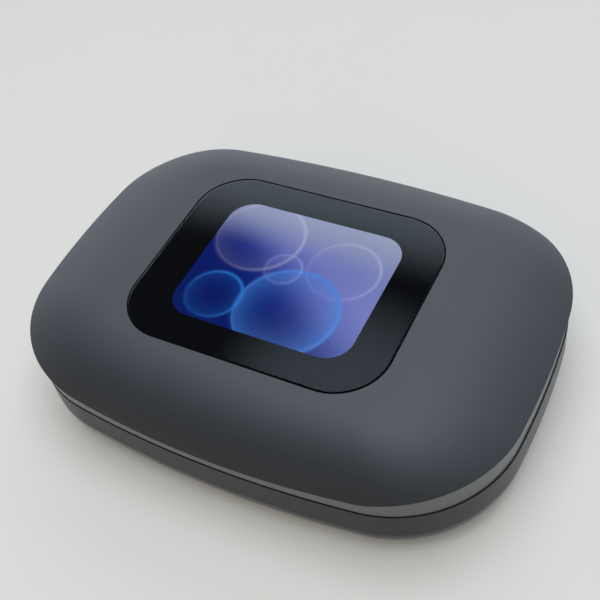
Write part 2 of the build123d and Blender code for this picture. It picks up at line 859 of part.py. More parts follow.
with BuildPart() as usb_shell:
    with BuildSketch(Plane.XZ.offset(-usb_y)):
        with Locations((0, usb_height_middle)):
            SlotOverall(usb_width, usb_height)
    extrude(amount=usb_length)
    with BuildSketch(Plane.XZ.offset(-usb_y)):
        with Locations((0, usb_height_middle)):
            SlotOverall(usb_width - 2 * usb_wall, usb_height - 2 * usb_wall)
    extrude(amount=usb_length - usb_back, mode=Mode.SUBTRACT)

with BuildPart() as usb_tongue:
    with BuildSketch(Plane.XZ.offset(-usb_y + usb_tongue_setback)):
        with Locations((0, usb_height_middle)):
            Rectangle(usb_tongue_width, usb_tongue_thickness)
    extrude(amount=usb_length - usb_tongue_setback - usb_back)

with BuildPart() as battery:
    with Locations((0, (battery_front + battery_rear) / 2, base_floor)):
        block(battery_width, battery_rear - battery_front, battery_thickness)
    fillet(battery.edges().filter_by(Axis.Y), battery_edge)


# ---- Writing -------------------------------------------------------------------------------

for piece, name in (
    (lid_shell, "lid_shell"),
    (cover_glass, "cover_glass"),
    (glass_gasket, "glass_gasket"),
    (display_panel, "display_panel"),
    (display_flex, "display_flex"),
    (display_bracket, "display_bracket"),
    (display_screws, "display_screws"),
    (lid_board, "lid_board"),
    (lid_liner, "lid_liner"),
    (liner_screws, "liner_screws"),
    (lid_bumpers, "lid_bumpers"),
    (lid_magnets, "lid_magnets"),
    (lid_hinge_leaf, "lid_hinge_leaf"),
    (lid_leaf_screws, "lid_leaf_screws"),
    (base_hinge_leaf, "base_hinge_leaf"),
    (base_leaf_screws, "base_leaf_screws"),
    (hinge_pin, "hinge_pin"),
    (base_shell, "base_shell"),
    (foot_pad, "foot_pad"),
    (tray, "tray"),
    (tray_screws, "tray_screws"),
    (tray_plugs, "tray_plugs"),
    (base_magnets, "base_magnets"),
    (well_magnets, "well_magnets"),
    (pin_block_left, "pin_block_left"),
    (pin_block_right, "pin_block_right"),
    (pairing_button, "pairing_button"),
    (tact_switch, "tact_switch"),
    (main_board, "main_board"),
    (board_screws, "board_screws"),
    (usb_shell, "usb_shell"),
    (usb_tongue, "usb_tongue"),
    (battery, "battery"),
):
    finish(piece, name)

for place, (x, y) in contact_spots.items():
    finish(contact_pin(x, y), f"contact_pin_{place}")
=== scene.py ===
from math import cos, pi, radians, sin

import bmesh
import bpy
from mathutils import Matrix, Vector


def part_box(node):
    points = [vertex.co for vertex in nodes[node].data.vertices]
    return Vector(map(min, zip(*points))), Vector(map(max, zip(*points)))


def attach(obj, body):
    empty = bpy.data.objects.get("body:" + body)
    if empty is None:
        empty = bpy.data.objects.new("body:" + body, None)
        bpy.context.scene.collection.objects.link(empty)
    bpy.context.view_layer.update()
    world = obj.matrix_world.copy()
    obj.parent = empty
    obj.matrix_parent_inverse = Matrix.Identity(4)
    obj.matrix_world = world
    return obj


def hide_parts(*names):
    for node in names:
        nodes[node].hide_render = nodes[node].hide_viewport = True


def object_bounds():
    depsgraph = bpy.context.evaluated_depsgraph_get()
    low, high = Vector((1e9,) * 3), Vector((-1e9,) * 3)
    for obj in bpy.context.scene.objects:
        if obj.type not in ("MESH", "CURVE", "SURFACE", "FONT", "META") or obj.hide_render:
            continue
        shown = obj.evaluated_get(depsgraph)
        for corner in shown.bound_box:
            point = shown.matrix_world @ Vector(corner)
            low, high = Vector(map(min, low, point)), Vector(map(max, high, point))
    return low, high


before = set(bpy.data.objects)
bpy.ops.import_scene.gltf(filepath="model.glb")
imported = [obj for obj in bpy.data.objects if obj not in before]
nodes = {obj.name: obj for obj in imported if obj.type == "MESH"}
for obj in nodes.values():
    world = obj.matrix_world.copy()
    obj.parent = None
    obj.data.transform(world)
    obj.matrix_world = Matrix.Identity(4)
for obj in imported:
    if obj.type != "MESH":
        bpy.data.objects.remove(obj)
cad_low, cad_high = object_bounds()

MM = 0.001

# Cover glass and what lies under it. The glass is bonded to the print and the panel, so its
# underside dips just below their upper faces and no air shows between them.
GLASS_CORNER = 9.5 * MM
GLASS_EDGE = 0.3 * MM
GLASS_EDGE_STEPS = 6
GLASS_SHARP_ANGLE = radians(40)
GLASS_DIP = 0.01 * MM
PRINT_INSET = 0.12 * MM
PRINT_BOTTOM_GAP = 0.005 * MM
PRINT_THICKNESS = 0.01 * MM
LIT_WIDTH = 34.9 * MM
LIT_DEPTH = 28.9 * MM
LIT_CORNER = 4.8 * MM
LIT_SHIFT = -0.06 * MM
CORNER_STEPS = 40

# Charging socket contacts
CONTACT_COUNT = 12
CONTACT_PITCH = 0.5 * MM
CONTACT_WIDTH = 0.28 * MM
CONTACT_LENGTH = 4.2 * MM
CONTACT_SETBACK = 0.4 * MM
CONTACT_PROUD = 0.02 * MM

# Camera
CAMERA_PLACE = (67.63 * MM, -94.31 * MM, 147.52 * MM)
CAMERA_TURN = (0.7157, 0.1293, 0.4653)
CAMERA_LENS = 57.36
CAMERA_NEAR_END = 10 * MM

# Surroundings. A fade is the stretch over which something comes or goes, along the part of a
# direction that points to the rear, the right or the ceiling, to the lamp, or along a slant.
ROOM_LEVEL = 0.10
ROOM_WARM = (0.98, 1.0, 0.93, 1.0)
ROOM_COOL = (0.86, 0.93, 1.0, 1.0)
REAR_FADE = (-0.1, 0.5)
WINDOW_GLOW = 1.6
WINDOW_SLANT = (0.0, 1.0, -1.0)
WINDOW_TOP_FADE = (-0.15, -0.05)
WINDOW_RIGHT_FADE = (-0.1, 0.6)
WINDOW_RIGHT_SHARE = 0.25
WALL_GLOW = 0.4
WALL_TOP_FADE = (0.12, 0.35)
LAMP_GLOW = 1.1
LAMP_SIDE = (-0.299, 0.458, 0.837)
LAMP_EDGE_FADE = (0.986, 0.9985)

# Light panels: place in metres, side in metres, power in watts, colour
OVERHEAD_PANEL = ((0.06, 0.03, 0.9), 0.75, 6.9, (0.88, 0.94, 1.0))
FRONT_PANEL = ((0.05, -0.42, 0.42), 0.6, 1.15, (1.0, 0.98, 0.80))
RIGHT_PANEL = ((0.55, 0.06, 0.2), 0.3, 3.3, (1.0, 1.0, 0.96))
PANEL_AIM = (0.0, 0.0, 10 * MM)

# Tabletop. Its own glow grows with the distance from the case, so that it stays pale far away.
FLOOR_SIZE = 3.0
FLOOR_DROP = 0.05 * MM
FLOOR_GLOW_NEAR = 0.12
FLOOR_GLOW_FAR = 0.9
FLOOR_GLOW_FADE = (0.4, 1.1)


def box_centre(name):
    """Middle of a CAD node's box, in metres."""
    low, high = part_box(name)
    return (low + high) / 2


def tone(red, green, blue):
    """Scene-linear colour from three display values of 0 to 255."""
    linear = []
    for value in (red, green, blue):
        share = value / 255
        linear.append(share / 12.92 if share <= 0.04045 else ((share + 0.055) / 1.055) ** 2.4)
    return (*linear, 1.0)


# ---- Node helpers ------------------------------------------------------------------------

# Sockets of a Mix node for each kind of value: its two inputs and its result
MIX_SOCKETS = {"VECTOR": (4, 5, 1), "RGBA": (6, 7, 2)}


def add_node(tree, kind, inputs=None, **settings):
    """New node with its settings, and its inputs set to values or joined to other sockets."""
    node = tree.nodes.new(kind)
    for key, value in settings.items():
        setattr(node, key, value)
    for key, value in (inputs or {}).items():
        if isinstance(value, bpy.types.NodeSocket):
            tree.links.new(value, node.inputs[key])
        else:
            node.inputs[key].default_value = value
    return node


def math(tree, operation, first, second=0.0, third=0.0, clamp=False):
    """Value of a sum on up to three values or sockets."""
    node = add_node(
        tree,
        "ShaderNodeMath",
        {0: first, 1: second, 2: third},
        operation=operation,
        use_clamp=clamp,
    )
    return node.outputs[0]


def remap(tree, value, low, high, to_low=0.0, to_high=1.0, smooth=False):
    """A value moved from one range to another, and held inside it."""
    node = add_node(
        tree,
        "ShaderNodeMapRange",
        {"Value": value, "From Min": low, "From Max": high, "To Min": to_low, "To Max": to_high},
        interpolation_type="SMOOTHSTEP" if smooth else "LINEAR",
    )
    return node.outputs["Result"]


def blend(tree, share, first, second, kind="RGBA"):
    """Two colours, or two vectors, mixed by a share."""
    first_socket, second_socket, result = MIX_SOCKETS[kind]
    inputs = {0: share, first_socket: first, second_socket: second}
    return add_node(tree, "ShaderNodeMix", inputs, data_type=kind).outputs[result]


def object_place(tree):
    """Place of the shaded point in its piece's own frame, in metres."""
    return add_node(tree, "ShaderNodeTexCoord").outputs["Object"]


def new_group(name, inputs, outputs):
    """Shader node group with number inputs and the outputs named, and its two end nodes."""
    group = bpy.data.node_groups.new(name, "ShaderNodeTree")
    for label, default in inputs:
        socket = group.interface.new_socket(label, in_out="INPUT", socket_type="NodeSocketFloat")
        socket.default_value = default
    for label, kind in outputs:
        group.interface.new_socket(label, in_out="OUTPUT", socket_type=kind)
    start = group.nodes.new("NodeGroupInput")
    end = group.nodes.new("NodeGroupOutput")
    return group, start.outputs, end.inputs


def use_group(tree, group, inputs):
    """Places a group in a tree with its own values."""
    return add_node(tree, "ShaderNodeGroup", inputs, node_tree=group).outputs


# ---- Shared effects ----------------------------------------------------------------------


def make_grain():
    """Fine moulded or sprayed grain: its height, and a slow cloudiness of the colour."""
    group, given, out = new_group(
        "fine_grain",
        [("Grains per Metre", 4000.0), ("Clouds per Metre", 60.0)],
        [("Height", "NodeSocketFloat"), ("Cloud", "NodeSocketFloat")],
    )
    place = object_place(group)
    grain = add_node(
        group,
        "ShaderNodeTexNoise",
        {"Vector": place, "Scale": given["Grains per Metre"], "Detail": 3.0, "Roughness": 0.6},
    )
    cloud = add_node(
        group,
        "ShaderNodeTexNoise",
        {"Vector": place, "Scale": given["Clouds per Metre"], "Detail": 4.0, "Roughness": 0.55},
    )
    group.links.new(grain.outputs["Fac"], out["Height"])
    group.links.new(remap(group, cloud.outputs["Fac"], 0.3, 0.7), out["Cloud"])
    return group


def make_dust():
    """Sparse specks of lint: each cell of a grid may hold one small round speck."""
    group, given, out = new_group(
        "dust_specks",
        [("Cells per Metre", 260.0), ("Share of Cells", 0.1), ("Speck Radius", 0.035)],
        [("Mask", "NodeSocketFloat")],
    )
    cells = add_node(
        group,
        "ShaderNodeTexVoronoi",
        {"Vector": object_place(group), "Scale": given["Cells per Metre"]},
    )
    pick = add_node(group, "ShaderNodeSeparateColor", {"Color": cells.outputs["Color"]})
    chosen = math(group, "LESS_THAN", pick.outputs["Red"], given["Share of Cells"])
    size = math(group, "MULTIPLY", given["Speck Radius"], pick.outputs["Green"])
    speck = math(group, "LESS_THAN", cells.outputs["Distance"], size)
    group.links.new(math(group, "MULTIPLY", chosen, speck), out["Mask"])
    return group


def make_smears():
    """Soft finger smears, as a mask that is mostly empty."""
    group, given, out = new_group(
        "finger_smears",
        [("Smears per Metre", 90.0), ("Threshold", 0.5)],
        [("Mask", "NodeSocketFloat")],
    )
    place = object_place(group)
    slow = add_node(group, "ShaderNodeTexNoise", {"Vector": place, "Scale": 30.0, "Detail": 1.0})
    # The place is pulled a little toward the slow noise, which bends the smears
    bent = blend(group, 0.02, place, slow.outputs["Color"], kind="VECTOR")
    smear = add_node(
        group,
        "ShaderNodeTexNoise",
        {"Vector": bent, "Scale": given["Smears per Metre"], "Detail": 5.0},
    )
    full = math(group, "ADD", given["Threshold"], 0.25)
    group.links.new(remap(group, smear.outputs["Fac"], given["Threshold"], full), out["Mask"])
    return group


def make_brushing():
    """Lines left by brushing or rolling along X: their height and a matching streak value."""
    group, given, out = new_group(
        "brushed_lines",
        [("Lines per Metre", 9000.0), ("Stretch", 0.02)],
        [("Height", "NodeSocketFloat"), ("Streak", "NodeSocketFloat")],
    )
    parts = add_node(group, "ShaderNodeSeparateXYZ", {"Vector": object_place(group)})
    along = math(group, "MULTIPLY", parts.outputs["X"], given["Stretch"])
    squeezed = add_node(
        group,
        "ShaderNodeCombineXYZ",
        {"X": along, "Y": parts.outputs["Y"], "Z": parts.outputs["Z"]},
    )
    lines = add_node(
        group,
        "ShaderNodeTexNoise",
        {"Vector": squeezed.outputs[0], "Scale": given["Lines per Metre"], "Detail": 2.0},
    )
    group.links.new(lines.outputs["Fac"], out["Height"])
    group.links.new(remap(group, lines.outputs["Fac"], 0.35, 0.65), out["Streak"])
    return group


def make_disc():
    """One soft disc on the screen: its bright rim, and a fill that fades to the middle."""
    group, given, out = new_group(
        "screen_disc",
        [
            ("Across", 0.0),
            ("Up", 0.0),
            ("Middle Across", 0.0),
            ("Middle Up", 0.0),
            ("Radius", 0.3),
            ("Rim Width", 0.02),
        ],
        [("Rim", "NodeSocketFloat"), ("Fill", "NodeSocketFloat")],
    )
    along = math(group, "SUBTRACT", given["Across"], given["Middle Across"])
    above = math(group, "SUBTRACT", given["Up"], given["Middle Up"])
    square = math(group, "MULTIPLY_ADD", along, along, math(group, "MULTIPLY", above, above))
    far = math(group, "SQRT", square)
    over = math(group, "SUBTRACT", far, given["Radius"])
    ratio = math(group, "DIVIDE", over, given["Rim Width"])
    falling = math(group, "MULTIPLY", math(group, "MULTIPLY", ratio, ratio), -1.0)
    bell = math(group, "EXPONENT", falling)
    # The rim is brightest toward the upper right
    lean = math(group, "DIVIDE", math(group, "ADD", along, above), given["Radius"])
    brightness = remap(group, lean, -1.2, 1.4, 0.15, 1.0)
    group.links.new(math(group, "MULTIPLY", bell, brightness), out["Rim"])
    share = math(group, "DIVIDE", far, given["Radius"])
    inside = math(group, "LESS_THAN", over, 0.0)
    group.links.new(math(group, "MULTIPLY", inside, math(group, "POWER", share, 2.5)), out["Fill"])
    return group


fine_grain = make_grain()
dust_specks = make_dust()
finger_smears = make_smears()
brushed_lines = make_brushing()
screen_disc = make_disc()


# ---- Finishes ----------------------------------------------------------------------------


def new_finish(name, **plain):
    """Material with one Principled BSDF, whose plain sockets are set here."""
    material = bpy.data.materials.new(name)
    material.use_nodes = True
    tree = material.node_tree
    shader = tree.nodes["Principled BSDF"]
    for key, value in plain.items():
        shader.inputs[key.replace("_", " ")].default_value = value
    return material, tree, shader


def add_bump(tree, shader, height, distance, strength=1.0):
    """Bump of a height map on the shader's normal."""
    bump = add_node(
        tree,
        "ShaderNodeBump",
        {"Height": height, "Distance": distance, "Strength": strength},
    )
    tree.links.new(bump.outputs["Normal"], shader.inputs["Normal"])


def soft_touch_finish(name, crown, gloss, dullness, rim_share):
    """Matt soft-touch coat: bluish charcoal, very fine grain, faint clouding, a few specks.

    Painted shade darkens the coat as the shell turns from flat to upright. By the rim's share,
    painted shade makes it darkest just above the crease, and painted light from the pale floor
    makes the lip below it pale. The lip is also smoother.
    """
    material, tree, shader = new_finish(
        name,
        Specular_IOR_Level=gloss,
        Sheen_Weight=0.05,
        Sheen_Roughness=0.45,
        Sheen_Tint=tone(190, 200, 225),
    )
    grain = use_group(tree, fine_grain, {"Grains per Metre": 6500.0, "Clouds per Metre": 45.0})
    dust = use_group(tree, dust_specks, {"Cells per Metre": 210.0, "Share of Cells": 0.07})
    smears = use_group(tree, finger_smears, {"Smears per Metre": 60.0, "Threshold": 0.52})
    # Lean: 1 where the surface faces up, 0 where it is upright, and below 0 where it overhangs
    outward = add_node(tree, "ShaderNodeTexCoord").outputs["Normal"]
    lean = add_node(tree, "ShaderNodeSeparateXYZ", {"Vector": outward}).outputs["Z"]
    # Painted shade mask: rises as the shell turns from flat to upright
    flank_shade = remap(tree, math(tree, "ABSOLUTE", lean), 0.98, 0.3, smooth=True)
    # Painted shade mask: just above the crease, scaled by the rim's share
    crease = math(tree, "MULTIPLY", remap(tree, lean, 0.3, 0.0, smooth=True), rim_share)
    # Lip mask, where the shell overhangs: painted light from the pale floor, and less roughness
    lip = math(tree, "MULTIPLY", remap(tree, lean, -0.04, -0.08), remap(tree, lean, -0.4, -0.3))
    cloud = math(tree, "MULTIPLY", grain["Cloud"], 0.06)
    body = blend(tree, cloud, crown, tone(90, 94, 102))
    # Painted shade toward the flanks and just above the crease, then painted light on the lip
    body = blend(tree, flank_shade, body, tone(24, 26, 28))
    body = blend(tree, crease, body, tone(4, 5, 7))
    body = blend(tree, math(tree, "MULTIPLY", lip, rim_share), body, tone(120, 124, 120))
    body = blend(tree, dust["Mask"], body, tone(110, 112, 115))
    tree.links.new(body, shader.inputs["Base Color"])
    roughness = math(tree, "MULTIPLY_ADD", smears["Mask"], -0.03, dullness)
    roughness = math(tree, "MULTIPLY_ADD", lip, -0.2, roughness)
    tree.links.new(roughness, shader.inputs["Roughness"])
    add_bump(tree, shader, grain["Height"], 0.012 * MM, 0.5)
    return material


def lens_finish():
    """Clear polished cover glass, whose coating tints its reflections blue."""
    return new_finish(
        "cover_lens",
        Base_Color=(0.98, 0.99, 1.0, 1.0),
        Roughness=0.0,
        IOR=1.5,
        Transmission_Weight=1.0,
        Specular_Tint=(0.76, 0.87, 1.0, 1.0),
    )[0]


def print_finish():
    """Black ink printed on the underside of the glass."""
    return new_finish("lens_ink", Base_Color=tone(1, 1, 2), Roughness=0.6, Specular_IOR_Level=0.0)[0]


def screen_finish(centre, width):
    """Lit panel: navy and violet under a pale haze, with a few soft overlapping discs.

    Places and radii on it are shares of its width, from its middle.
    """
    material, tree, shader = new_finish(
        "lit_panel",
        Base_Color=tone(4, 4, 6),
        Roughness=0.4,
        Specular_IOR_Level=0.0,
        Emission_Strength=1.0,
    )
    spot = add_node(
        tree,
        "ShaderNodeMapping",
        {
            "Vector": object_place(tree),
            "Location": (-centre.x / width, -centre.y / width, 0.0),
            "Scale": (1 / width, 1 / width, 1.0),
        },
    )
    parts = add_node(tree, "ShaderNodeSeparateXYZ", {"Vector": spot.outputs[0]})
    across, up = parts.outputs["X"], parts.outputs["Y"]
    # Slow colour field: navy low on the left, violet toward the upper right, haze along the top
    tilt = math(tree, "MULTIPLY_ADD", across, 0.8, up)
    field = add_node(tree, "ShaderNodeValToRGB", {"Fac": remap(tree, tilt, -0.7, 0.75)})
    ramp = field.color_ramp
    ramp.interpolation = "B_SPLINE"
    stops = (
        (0.0, tone(4, 22, 92)),
        (0.28, tone(2, 20, 98)),
        (0.42, tone(14, 38, 128)),
        (0.54, tone(90, 102, 176)),
        (0.66, tone(112, 116, 188)),
        (1.0, tone(124, 138, 180)),
    )
    while len(ramp.elements) < len(stops):
        ramp.elements.new(0.5)
    for element, (place, shade) in zip(ramp.elements, stops):
        element.position = place
        element.color = shade
    haze = remap(tree, up, 0.1, 0.4, 0.0, 0.65, smooth=True)
    picture = blend(tree, haze, field.outputs["Color"], tone(150, 156, 176))
    # Each disc: its middle across and up, radius, rim width, colour, shares of its rim and fill
    discs = (
        (-0.26, 0.20, 0.24, 0.010, tone(176, 176, 212), 0.55, 0.08),
        (0.26, 0.12, 0.19, 0.009, tone(170, 172, 216), 0.55, 0.06),
        (0.10, -0.22, 0.27, 0.011, tone(68, 132, 222), 0.80, 0.42),
        (-0.30, -0.24, 0.15, 0.009, tone(38, 120, 214), 0.70, 0.14),
        (-0.04, 0.03, 0.10, 0.008, tone(140, 160, 220), 0.45, 0.14),
    )
    for middle_across, middle_up, radius, rim, light, rim_share, fill_share in discs:
        disc = use_group(
            tree,
            screen_disc,
            {
                "Across": across,
                "Up": up,
                "Middle Across": middle_across,
                "Middle Up": middle_up,
                "Radius": radius,
                "Rim Width": rim,
            },
        )
        for part, share in (("Fill", fill_share), ("Rim", rim_share)):
            picture = blend(tree, math(tree, "MULTIPLY", disc[part], share), picture, light)
    tree.links.new(picture, shader.inputs["Emission Color"])
    return material


def moulded_finish(name, dark, light, roughness, grains, depth):
    """Moulded plastic or rubber with a spark-eroded grain."""
    material, tree, shader = new_finish(name)
    grain = use_group(tree, fine_grain, {"Grains per Metre": grains, "Clouds per Metre": 70.0})
    dust = use_group(tree, dust_specks, {"Cells per Metre": 240.0, "Share of Cells": 0.05})
    body = blend(tree, grain["Cloud"], dark, light)
    body = blend(tree, dust["Mask"], body, tone(105, 106, 108))
    tree.links.new(body, shader.inputs["Base Color"])
    worn = math(tree, "MULTIPLY_ADD", grain["Cloud"], -0.06, roughness)
    tree.links.new(worn, shader.inputs["Roughness"])
    add_bump(tree, shader, grain["Height"], depth, 0.7)
    return material


def metal_finish(name, dark, light, roughness, lines, stretch, depth):
    """Rolled or brushed metal with fine lines and a little tarnish."""
    material, tree, shader = new_finish(name, Metallic=1.0)
    brushing = use_group(tree, brushed_lines, {"Lines per Metre": lines, "Stretch": stretch})
    grain = use_group(tree, fine_grain, {"Grains per Metre": 2500.0, "Clouds per Metre": 220.0})
    surface = blend(tree, brushing["Streak"], dark, light)
    tarnished = blend(tree, math(tree, "MULTIPLY", grain["Cloud"], 0.2), surface, dark)
    tree.links.new(tarnished, shader.inputs["Base Color"])
    rough = math(tree, "MULTIPLY_ADD", brushing["Streak"], 0.1, roughness)
    tree.links.new(rough, shader.inputs["Roughness"])
    add_bump(tree, shader, brushing["Height"], depth, 0.6)
    return material


def board_finish():
    """Solder mask over copper tracks, with pale pads here and there."""
    material, tree, shader = new_finish("circuit_board_mask", Roughness=0.35)
    place = object_place(tree)
    tracks = add_node(
        tree,
        "ShaderNodeTexBrick",
        {
            "Vector": place,
            "Color1": tone(14, 52, 36),
            "Color2": tone(16, 58, 40),
            "Mortar": tone(30, 84, 58),
            "Scale": 420.0,
            "Mortar Size": 0.035,
            "Brick Width": 0.9,
            "Row Height": 0.3,
        },
    )
    pads = add_node(
        tree,
        "ShaderNodeTexVoronoi",
        {"Vector": place, "Scale": 700.0},
        distance="CHEBYCHEV",
    )
    pick = add_node(tree, "ShaderNodeSeparateColor", {"Color": pads.outputs["Color"]})
    chosen = math(tree, "LESS_THAN", pick.outputs["Red"], 0.12)
    pad = math(tree, "MULTIPLY", chosen, math(tree, "LESS_THAN", pads.outputs["Distance"], 0.3))
    body = blend(tree, pad, tracks.outputs["Color"], tone(196, 170, 110))
    tree.links.new(body, shader.inputs["Base Color"])
    tree.links.new(pad, shader.inputs["Metallic"])
    add_bump(tree, shader, tracks.outputs["Fac"], -0.02 * MM, 0.6)
    return material


def flex_finish():
    """Amber film of a flat ribbon, with its copper lines running along it."""
    material, tree, shader = new_finish("flex_film", Roughness=0.3)
    parts = add_node(tree, "ShaderNodeSeparateXYZ", {"Vector": object_place(tree)})
    line_pitch = 0.5 * MM
    wave = math(tree, "SINE", math(tree, "MULTIPLY", parts.outputs["X"], 2 * pi / line_pitch))
    line = remap(tree, wave, -0.2, 0.2)
    body = blend(tree, line, tone(150, 92, 30), tone(92, 58, 22))
    tree.links.new(body, shader.inputs["Base Color"])
    add_bump(tree, shader, line, 0.02 * MM, 0.8)
    return material


def foil_finish():
    """Wrap of the battery: grey film with soft wrinkles."""
    material, tree, shader = new_finish("battery_film", Metallic=0.55)
    place = object_place(tree)
    film = add_node(tree, "ShaderNodeTexNoise", {"Vector": place, "Scale": 260.0, "Detail": 4.0})
    wrinkle = film.outputs["Fac"]
    shade = blend(tree, wrinkle, tone(128, 132, 138), tone(168, 172, 178))
    tree.links.new(shade, shader.inputs["Base Color"])
    tree.links.new(remap(tree, wrinkle, 0.3, 0.7, 0.28, 0.45), shader.inputs["Roughness"])
    add_bump(tree, shader, wrinkle, 0.12 * MM, 0.6)
    return material


def floor_finish():
    """Pale matt tabletop with a barely visible grain."""
    material, tree, shader = new_finish("pale_tabletop", Roughness=0.7)
    grain = use_group(tree, fine_grain, {"Grains per Metre": 700.0, "Clouds per Metre": 9.0})
    shade = blend(tree, grain["Cloud"], tone(212, 209, 206), tone(215, 212, 209))
    tree.links.new(shade, shader.inputs["Base Color"])
    add_bump(tree, shader, grain["Height"], 0.05 * MM, 0.25)
    # Part of the floor's paleness is its own, so that the shadow on it stays light
    path = add_node(tree, "ShaderNodeLightPath")
    seen = math(tree, "ADD", path.outputs["Is Camera Ray"], path.outputs["Is Glossy Ray"])
    seen = math(tree, "ADD", seen, path.outputs["Is Transmission Ray"], clamp=True)
    glow = add_node(tree, "ShaderNodeEmission", {"Color": shade, "Strength": 1.0})
    distance = add_node(tree, "ShaderNodeVectorMath", {0: object_place(tree)}, operation="LENGTH")
    away = distance.outputs["Value"]
    own = remap(tree, away, *FLOOR_GLOW_FADE, FLOOR_GLOW_NEAR, FLOOR_GLOW_FAR, smooth=True)
    mixed = add_node(
        tree,
        "ShaderNodeMixShader",
        {0: math(tree, "MULTIPLY", seen, own), 1: shader.outputs[0], 2: glow.outputs[0]},
    )
    tree.links.new(mixed.outputs[0], tree.nodes["Material Output"].inputs["Surface"])
    return material


def wear(finish, *names):
    """Gives a finish to CAD nodes."""
    for name in names:
        for holder in nodes[name].material_slots:
            holder.material = finish


# ---- Meshes ------------------------------------------------------------------------------


def rounded_loop(mesh, width, depth, corner, centre, height):
    """Ring of points along a rectangle with round corners."""
    ring = []
    for quarter in range(4):
        middle_x = (width / 2 - corner) * (1 if quarter in (0, 3) else -1)
        middle_y = (depth / 2 - corner) * (1 if quarter < 2 else -1)
        for step in range(CORNER_STEPS + 1):
            angle = (quarter + step / CORNER_STEPS) * pi / 2
            x = centre.x + middle_x + corner * cos(angle)
            y = centre.y + middle_y + corner * sin(angle)
            ring.append(mesh.verts.new((x, y, height)))
    return ring


def band(mesh, first, second):
    """Faces between two rings with as many points."""
    for index, point in enumerate(first):
        after = (index + 1) % len(first)
        mesh.faces.new((point, first[after], second[after], second[index]))


def new_piece(name, mesh, finish, body):
    """Object made from a bmesh, with its finish, riding on a CAD body."""
    bmesh.ops.recalc_face_normals(mesh, faces=mesh.faces)
    data = bpy.data.meshes.new(name)
    mesh.to_mesh(data)
    mesh.free()
    data.materials.append(finish)
    piece = bpy.data.objects.new(name, data)
    bpy.context.scene.collection.objects.link(piece)
    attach(piece, body)
    return piece


def make_lens():
    """Cover glass: a flat plate with round corners and a softened upper edge."""
    low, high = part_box("cover_glass")
    centre, size = (low + high) / 2, high - low
    mesh = bmesh.new()
    rings = [rounded_loop(mesh, size.x, size.y, GLASS_CORNER, centre, low.z - GLASS_DIP)]
    for step in range(GLASS_EDGE_STEPS + 1):
        angle = step / GLASS_EDGE_STEPS * pi / 2
        inset = GLASS_EDGE * (1 - cos(angle))
        height = high.z - GLASS_EDGE * (1 - sin(angle))
        width, depth = size.x - 2 * inset, size.y - 2 * inset
        rings.append(rounded_loop(mesh, width, depth, GLASS_CORNER - inset, centre, height))
    for lower, upper in zip(rings, rings[1:]):
        band(mesh, lower, upper)
    mesh.faces.new(rings[0])
    mesh.faces.new(rings[-1])
    lens = new_piece("cover_lens", mesh, lens_finish(), "lid")
    lens.data.set_sharp_from_angle(angle=GLASS_SHARP_ANGLE)
    # The sides shade smoothly. The top and the underside, with more corners, mirror as true planes
    for face in lens.data.polygons:
        face.use_smooth = len(face.vertices) == 4
    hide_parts("cover_glass")
    return lens


def make_print(lit_centre):
    """Black print round the lit window, a film just above the panel."""
    low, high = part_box("cover_glass")
    centre, size = (low + high) / 2, high - low
    bottom = low.z + PRINT_BOTTOM_GAP
    top = bottom + PRINT_THICKNESS
    outer = (size.x - 2 * PRINT_INSET, size.y - 2 * PRINT_INSET, GLASS_CORNER - PRINT_INSET, centre)
    inner = (LIT_WIDTH, LIT_DEPTH, LIT_CORNER, lit_centre)
    mesh = bmesh.new()
    outer_low, outer_high = [rounded_loop(mesh, *outer, height) for height in (bottom, top)]
    inner_low, inner_high = [rounded_loop(mesh, *inner, height) for height in (bottom, top)]
    band(mesh, outer_low, outer_high)
    band(mesh, inner_high, inner_low)
    band(mesh, outer_high, inner_high)
    band(mesh, inner_low, outer_low)
    return new_piece("lens_print", mesh, print_finish(), "lid")


def make_socket_contacts(finish):
    """Rows of gilt contact strips on both faces of the charging socket's tongue."""
    low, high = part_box("usb_tongue")
    mesh = bmesh.new()
    for face_height in (low.z, high.z):
        for index in range(CONTACT_COUNT):
            x = (index - (CONTACT_COUNT - 1) / 2) * CONTACT_PITCH
            middle = Vector((x, high.y - CONTACT_SETBACK - CONTACT_LENGTH / 2, face_height))
            strip = bmesh.ops.create_cube(mesh, size=1.0)["verts"]
            bmesh.ops.scale(mesh, vec=(CONTACT_WIDTH, CONTACT_LENGTH, 2 * CONTACT_PROUD), verts=strip)
            bmesh.ops.translate(mesh, vec=middle, verts=strip)
    return new_piece("socket_contacts", mesh, finish, "base")


# ---- Dressing the case -------------------------------------------------------------------

lid_coat = soft_touch_finish(
    "lid_coat", crown=tone(58, 60, 67), gloss=0.55, dullness=0.56, rim_share=0.5
)
base_coat = soft_touch_finish(
    "base_coat", crown=tone(30, 32, 35), gloss=0.28, dullness=0.36, rim_share=0.0
)
# Plastics and rubber: dark and light tone, roughness, grains per metre, depth of the grain
inner_plastic = moulded_finish(
    "inner_plastic", tone(34, 35, 38), tone(39, 40, 43), 0.5, 3500.0, 0.02 * MM
)
black_plastic = moulded_finish(
    "black_plastic", tone(20, 20, 22), tone(25, 25, 27), 0.45, 3000.0, 0.01 * MM
)
soft_rubber = moulded_finish(
    "soft_rubber", tone(28, 28, 30), tone(34, 34, 36), 0.7, 2200.0, 0.03 * MM
)
